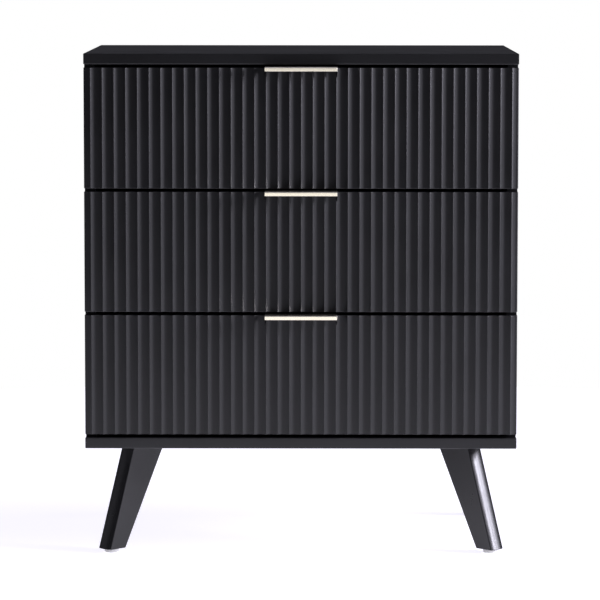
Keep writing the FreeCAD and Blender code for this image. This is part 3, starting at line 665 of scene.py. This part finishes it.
# Screws: the tip and the point's length as shares of the shank's radius, and the recess as
# shares of the head's radius and height.
SCREW_TIP = 0.15
SCREW_POINT_LENGTH = 2
SCREW_RECESS = 0.56
SCREW_RECESS_DEPTH = 0.7
SCREW_DOME = (
    # shares of the head's radius and height, then the edge value
    (0.96, 0, 0),
    (1, 0.1, 1),
    (1, 0.35, 1),
    (0.95, 0.65, 0.5),
    (0.84, 0.87, 0),
    (0.68, 1, 0),
)
HEAD_LEDGE = 0.5 * MM

CAM_RIM = 0.5 * MM
CAM_RIM_ROUND = 0.15 * MM
CAM_DISH = 0.35 * MM
CAM_FACE = 0.86  # these three are shares of the cam's radius
CAM_DISH_REACH = 0.8
CAM_RECESS = 0.66
CAM_RECESS_DEPTH = 2.6 * MM

RECESS_TAPER = 0.9

GLIDE_RIM = (
    # inset from the foot's radius, height above the floor, edge value
    (1.7 * MM, 0, 1),
    (0.9 * MM, 0.2 * MM, 1),
    (0.25 * MM, 0.85 * MM, 1),
    (0, 1.8 * MM, 0),
)
GLIDE_SHOULDER = (
    # inset from the foot's radius, depth below the shoulder
    (0, 1.2 * MM),
    (0.3 * MM, 0.45 * MM),
    (1.0 * MM, 0),
)


def solids_of(node):
    """The vertices of each separate solid in a CAD node."""
    bm = bmesh.new()
    bm.from_mesh(frame["nodes"][node].data)
    bmesh.ops.remove_doubles(bm, verts=bm.verts, dist=WELD)
    waiting = set(bm.verts)
    solids = []
    for first in bm.verts:
        if first not in waiting:
            continue
        waiting.discard(first)
        group = [first]
        for vert in group:
            for edge in vert.link_edges:
                other = edge.other_vert(vert)
                if other in waiting:
                    waiting.discard(other)
                    group.append(other)
        solids.append([vert.co.copy() for vert in group])
    bm.free()
    return solids


def extent(points):
    """The lowest and highest corner of some points."""
    low = Vector([min(point[k] for point in points) for k in range(3)])
    high = Vector([max(point[k] for point in points) for k in range(3)])
    return low, high


def reaches_of(points, axis):
    """Each point of a turned solid, with how far it lies from the solid's own axis."""
    low, high = extent(points)
    for point in points:
        away = point - (low + high) / 2
        away[axis] = 0
        yield point, away.length


def standing(points, axis, upward):
    """A turned solid's size, and the function from its own space to the frame."""
    low, high = extent(points)
    origin = (low + high) / 2
    origin[axis] = low[axis] if upward else high[axis]
    along = AXES[axis] * (1 if upward else -1)
    first, second = AXES[(axis + 1) % 3], AXES[(axis + 2) % 3]

    def to_space(a, b, level):
        return origin + first * a + second * b + along * level

    return high - low, to_space


def end_radius(points, axis, level):
    """How far a turned solid reaches from its own axis at one of its ends."""
    return max(reach for point, reach in reaches_of(points, axis) if abs(point[axis] - level) < WELD)


def head_start(points, axis, crown, shank):
    """The height of a screw's head, from the ring where its wide part begins."""
    wide = shank + HEAD_LEDGE
    return max(abs(point[axis] - crown) for point, reach in reaches_of(points, axis) if reach > wide)


def round_turns():
    """Angles of a plain round ring."""
    return [2 * pi * step / ROUND_POINTS for step in range(ROUND_POINTS)]


def cross_turns():
    """Angles that meet every corner of a cross recess."""
    corner = atan(CROSS_WIDTH)
    steps = 2 * CROSS_STEPS
    between = pi / 2 - 2 * corner
    quarter = [0, corner]
    quarter += [corner + between * step / steps for step in range(1, steps)]
    quarter.append(pi / 2 - corner)
    return [number * pi / 2 + turn for number in range(4) for turn in quarter]


def cross_reach(turn):
    """Distance from the middle to the outline of a cross whose arms are 1 long."""
    a, b = max(abs(cos(turn)), 1e-9), max(abs(sin(turn)), 1e-9)
    return max(min(1 / a, CROSS_WIDTH / b), min(CROSS_WIDTH / a, 1 / b))


def turned(bm, turns, to_space, profile):
    """A closed solid from rings of radius, level, edge value and, if not round, the ring's shape."""
    rings = []
    for radius, level, _, *shape in profile:
        ring = []
        for turn in turns:
            reach = radius * (shape[0](turn) if shape else 1)
            ring.append(to_space(reach * cos(turn), reach * sin(turn), level))
        rings.append(ring)
    bridge_rings(bm, rings, [ring[2] for ring in profile])


def screw_profile(shank, head, head_height, length):
    """A pointed screw with a low domed head and a cross recess."""
    seat = length - head_height
    arm = SCREW_RECESS * head
    profile = [
        (SCREW_TIP * shank, 0, 0),
        (shank, SCREW_POINT_LENGTH * shank, 0),
        (shank, seat, 0),
    ]
    profile += [(wide * head, seat + up * head_height, edge) for wide, up, edge in SCREW_DOME]
    profile += [
        (arm, length, 1, cross_reach),
        (RECESS_TAPER * arm, length - SCREW_RECESS_DEPTH * head_height, 0, cross_reach),
    ]
    return profile


def make_screws(node):
    """Every screw of one CAD node, where the node has it."""
    bm = bmesh.new()
    for points in solids_of(node):
        low, high = extent(points)
        spans = list(high - low)
        axis = spans.index(max(spans))
        radii = [end_radius(points, axis, end[axis]) for end in (low, high)]
        shank, head = sorted(radii)
        upward = radii[1] > radii[0]
        size, to_space = standing(points, axis, upward)
        crown = high[axis] if upward else low[axis]
        head_height = head_start(points, axis, crown, shank)
        turned(bm, cross_turns(), to_space, screw_profile(shank, head, head_height, size[axis]))
    add_piece(f"{node}_turned", bm, "screw_steel", body_of(node), [node])


def make_cams(node):
    """Cam locks let into the boards, their faces with rounded rims and cross recesses."""
    bm = bmesh.new()
    for points in solids_of(node):
        low, high = extent(points)
        spans = list(high - low)
        axis = spans.index(min(spans))
        middle = sum(point[axis] for point in points) / len(points)
        upward = axis == 1 or middle < 0
        size, to_space = standing(points, axis, upward)
        depth = size[axis]
        radius = max(spans) / 2
        arm = CAM_RECESS * radius
        turned(bm, cross_turns(), to_space, (
            (radius, 0, 0),
            (radius, depth - CAM_RIM, 0),
            (radius - CAM_RIM_ROUND, depth - CAM_RIM_ROUND, 1),
            (radius - CAM_RIM, depth, 1),
            (CAM_FACE * radius, depth, 0),
            (CAM_DISH_REACH * radius, depth - CAM_DISH, 0),
            (arm, depth - CAM_DISH, 0.6, cross_reach),
            (RECESS_TAPER * arm, depth - CAM_RECESS_DEPTH, 0, cross_reach),
        ))
    add_piece(f"{node}_cast", bm, "cam_zinc", body_of(node), [node])


def make_glides():
    """Moulded feet with a rounded rim, each on its stem."""
    node = "foot_glides"
    bm = bmesh.new()
    for points in solids_of(node):
        size, to_space = standing(points, 2, True)
        foot = size.x / 2
        low, high = extent(points)
        stem = end_radius(points, 2, high.z)
        shoulder = max(point.z for point, reach in reaches_of(points, 2) if abs(reach - foot) < 2 * WELD)
        profile = [(foot - inset, up, edge) for inset, up, edge in GLIDE_RIM]
        profile += [(foot - inset, shoulder - down, 0) for inset, down in GLIDE_SHOULDER]
        profile += [(stem, shoulder, 0), (stem, size.z, 0)]
        turned(bm, round_turns(), to_space, profile)
    add_piece("foot_glides_moulded", bm, "glide_nylon", body_of(node), [node])


# ---------------------------------------------------------------- everything else

def finish_nodes():
    """Every CAD node that is still shown gets its slot's material."""
    slots = {item["node"]: item["material_slot"] for item in frame["record"]["subparts"]}
    for name, node in frame["nodes"].items():
        if not node.hide_render:
            node.data.materials.clear()
            node.data.materials.append(looks[slots[name]])


# ---------------------------------------------------------------- stage, light and camera

FLOOR_RADIUS = 1.75
FLOOR_GLOW = 0.86
ROOM_GLOW = 0.085
COOL = (0.99, 0.97, 1.12)
WARM = (1, 0.98, 0.94)

CAMERA_PLACE = Vector((0.019782, -5.060771, 0.852446))
CAMERA_LENS = 212.143
CAMERA_TILT = 0.100867
CAMERA_YAW = 0.004327
CAMERA_ROLL = 0.000718

CARDS = {
    # name: azimuths, elevations, distance, radiance
    "key": ((82, 92), (6, 26), 3.0, 22),
    "key_wing": ((92, 106), (6, 26), 3.0, 4.6),
    "low_side": ((86, 104), (-8, 8), 3.5, 4.7),
    "quarter": ((68, 79), (8, 21), 3.5, 35),
    "low_front": ((28, 54), (-8, 8), 3.5, 1.8),
    "high_quarter": ((44, 60), (8, 24), 3.0, 1.5),
    "left_side": ((-108, -78), (-6, 20), 3.5, 0.15),
    "overhead": ((-20, 20), (60, 88), 3.0, 0.8),
}
PULL_CARD = ((-30, 30), (-20, 6), 3.0, 1.15)
SLAB_CARD = ((-6, 40), (-16, 10), 3.0, 0.2)
# These would mirror in the flat top as a white glare when it is seen from the far side.
SIDE_CARDS = {"key", "key_wing", "low_side", "quarter"}


def make_floor():
    """A round of white paper that glows a little, so that it is as pale as the photograph's."""
    bm = bmesh.new()
    bmesh.ops.create_circle(bm, cap_ends=True, segments=96, radius=FLOOR_RADIUS)
    mesh = bpy.data.meshes.new("floor")
    bm.to_mesh(mesh)
    bm.free()
    floor = bpy.data.objects.new("floor", mesh)
    bpy.context.scene.collection.objects.link(floor)
    shader = Shader("floor_paper", Roughness=0.9, Specular_IOR_Level=0.1)
    tone = shader.spread(shader.noise((3, 3, 3), detail=2), 0.78, 0.8)
    shader.set("Base Color", tone)
    shader.surface.inputs["Emission Color"].default_value = (1, 0.98, 1.1, 1)
    shader.surface.inputs["Emission Strength"].default_value = FLOOR_GLOW
    mesh.materials.append(shader.material)


def make_card(name, azimuths, elevations, distance, radiance, colour):
    """A soft light that fills a range of directions; azimuth 0 is in front and 90 on the right."""
    low, high = cad_box
    target = (low + high) / 2
    turn, rise = radians(sum(azimuths) / 2), radians(sum(elevations) / 2)
    back = Vector((sin(turn) * cos(rise), -cos(turn) * cos(rise), sin(rise)))
    data = bpy.data.lights.new(name, "AREA")
    data.shape = "RECTANGLE"
    data.size = 2 * distance * tan(radians(azimuths[1] - azimuths[0]) / 2)
    data.size_y = 2 * distance * tan(radians(elevations[1] - elevations[0]) / 2)
    data.energy = radiance * pi * data.size * data.size_y
    data.color = colour
    light = bpy.data.objects.new(name, data)
    facing = back.to_track_quat("Z", "Y").to_matrix().to_4x4()
    light.matrix_world = Matrix.Translation(target + back * distance) @ facing
    bpy.context.scene.collection.objects.link(light)
    return light


def light_only(light, pieces):
    """Lets one light reach the named pieces and nothing else."""
    lit = bpy.data.collections.new(f"{light.name}_lit")
    for piece in pieces:
        lit.objects.link(bpy.data.objects[piece])
    light.light_linking.receiver_collection = lit


def keep_off(light, pieces):
    """Keeps one light off the named pieces, and on everything else."""
    spared = bpy.data.collections.new(f"{light.name}_spared")
    for piece in pieces:
        spared.objects.link(bpy.data.objects[piece])
    for entry in spared.collection_objects:
        entry.light_linking.link_state = "EXCLUDE"
    light.light_linking.receiver_collection = spared


def make_lights():
    """All the cards, with what each of them reaches."""
    for name, card in CARDS.items():
        light = make_card(name, *card, COOL)
        if name in SIDE_CARDS:
            keep_off(light, ["top_panel_board"])
    light_only(make_card("pull_card", *PULL_CARD, WARM), [f"{row}_bent_pull" for row in ROWS])
    light_only(make_card("slab_card", *SLAB_CARD, COOL), ["top_panel_board"])


def make_world():
    """White behind the object, and a dim room in its reflections."""
    world = bpy.data.worlds.new("studio")
    world.use_nodes = True
    nodes, links = world.node_tree.nodes, world.node_tree.links
    room = nodes["Background"]
    room.inputs["Color"].default_value = (0.97, 0.96, 1.12, 1)
    room.inputs["Strength"].default_value = ROOM_GLOW
    paper = nodes.new("ShaderNodeBackground")
    paper.inputs["Color"].default_value = (1, 1, 1, 1)
    paper.inputs["Strength"].default_value = 1
    choice = nodes.new("ShaderNodeMixShader")
    links.new(nodes.new("ShaderNodeLightPath").outputs["Is Camera Ray"], choice.inputs["Fac"])
    links.new(room.outputs[0], choice.inputs[1])
    links.new(paper.outputs[0], choice.inputs[2])
    links.new(choice.outputs[0], nodes["World Output"].inputs["Surface"])
    bpy.context.scene.world = world


def make_camera():
    """A long lens, well back, looking slightly down at the front."""
    data = bpy.data.cameras.new("camera")
    data.sensor_width = 36
    data.lens = CAMERA_LENS
    data.clip_start, data.clip_end = 0.1, 60
    camera = bpy.data.objects.new("camera", data)
    turn = Matrix.Rotation(CAMERA_YAW, 4, "Z") @ Matrix.Rotation(pi / 2 - CAMERA_TILT, 4, "X")
    camera.matrix_world = Matrix.Translation(CAMERA_PLACE) @ turn @ Matrix.Rotation(CAMERA_ROLL, 4, "Z")
    bpy.context.scene.collection.objects.link(camera)
    bpy.context.scene.camera = camera


# ---------------------------------------------------------------- the whole scene

make_boards()
for row in ROWS:
    make_front(row)
    make_pull(row)
for name in CORNERS:
    make_leg(name)
make_runners()
make_screws("leg_screws")
make_screws("cabinet_runner_screws")
make_cams("carcass_cams")
make_glides()
for row in ROWS:
    make_screws(f"{row}_drawer_screws")
    make_cams(f"{row}_drawer_cams")

make_floor()
make_world()
make_lights()
make_camera()
bpy.context.scene.view_settings.view_transform = "Standard"

finish_nodes()
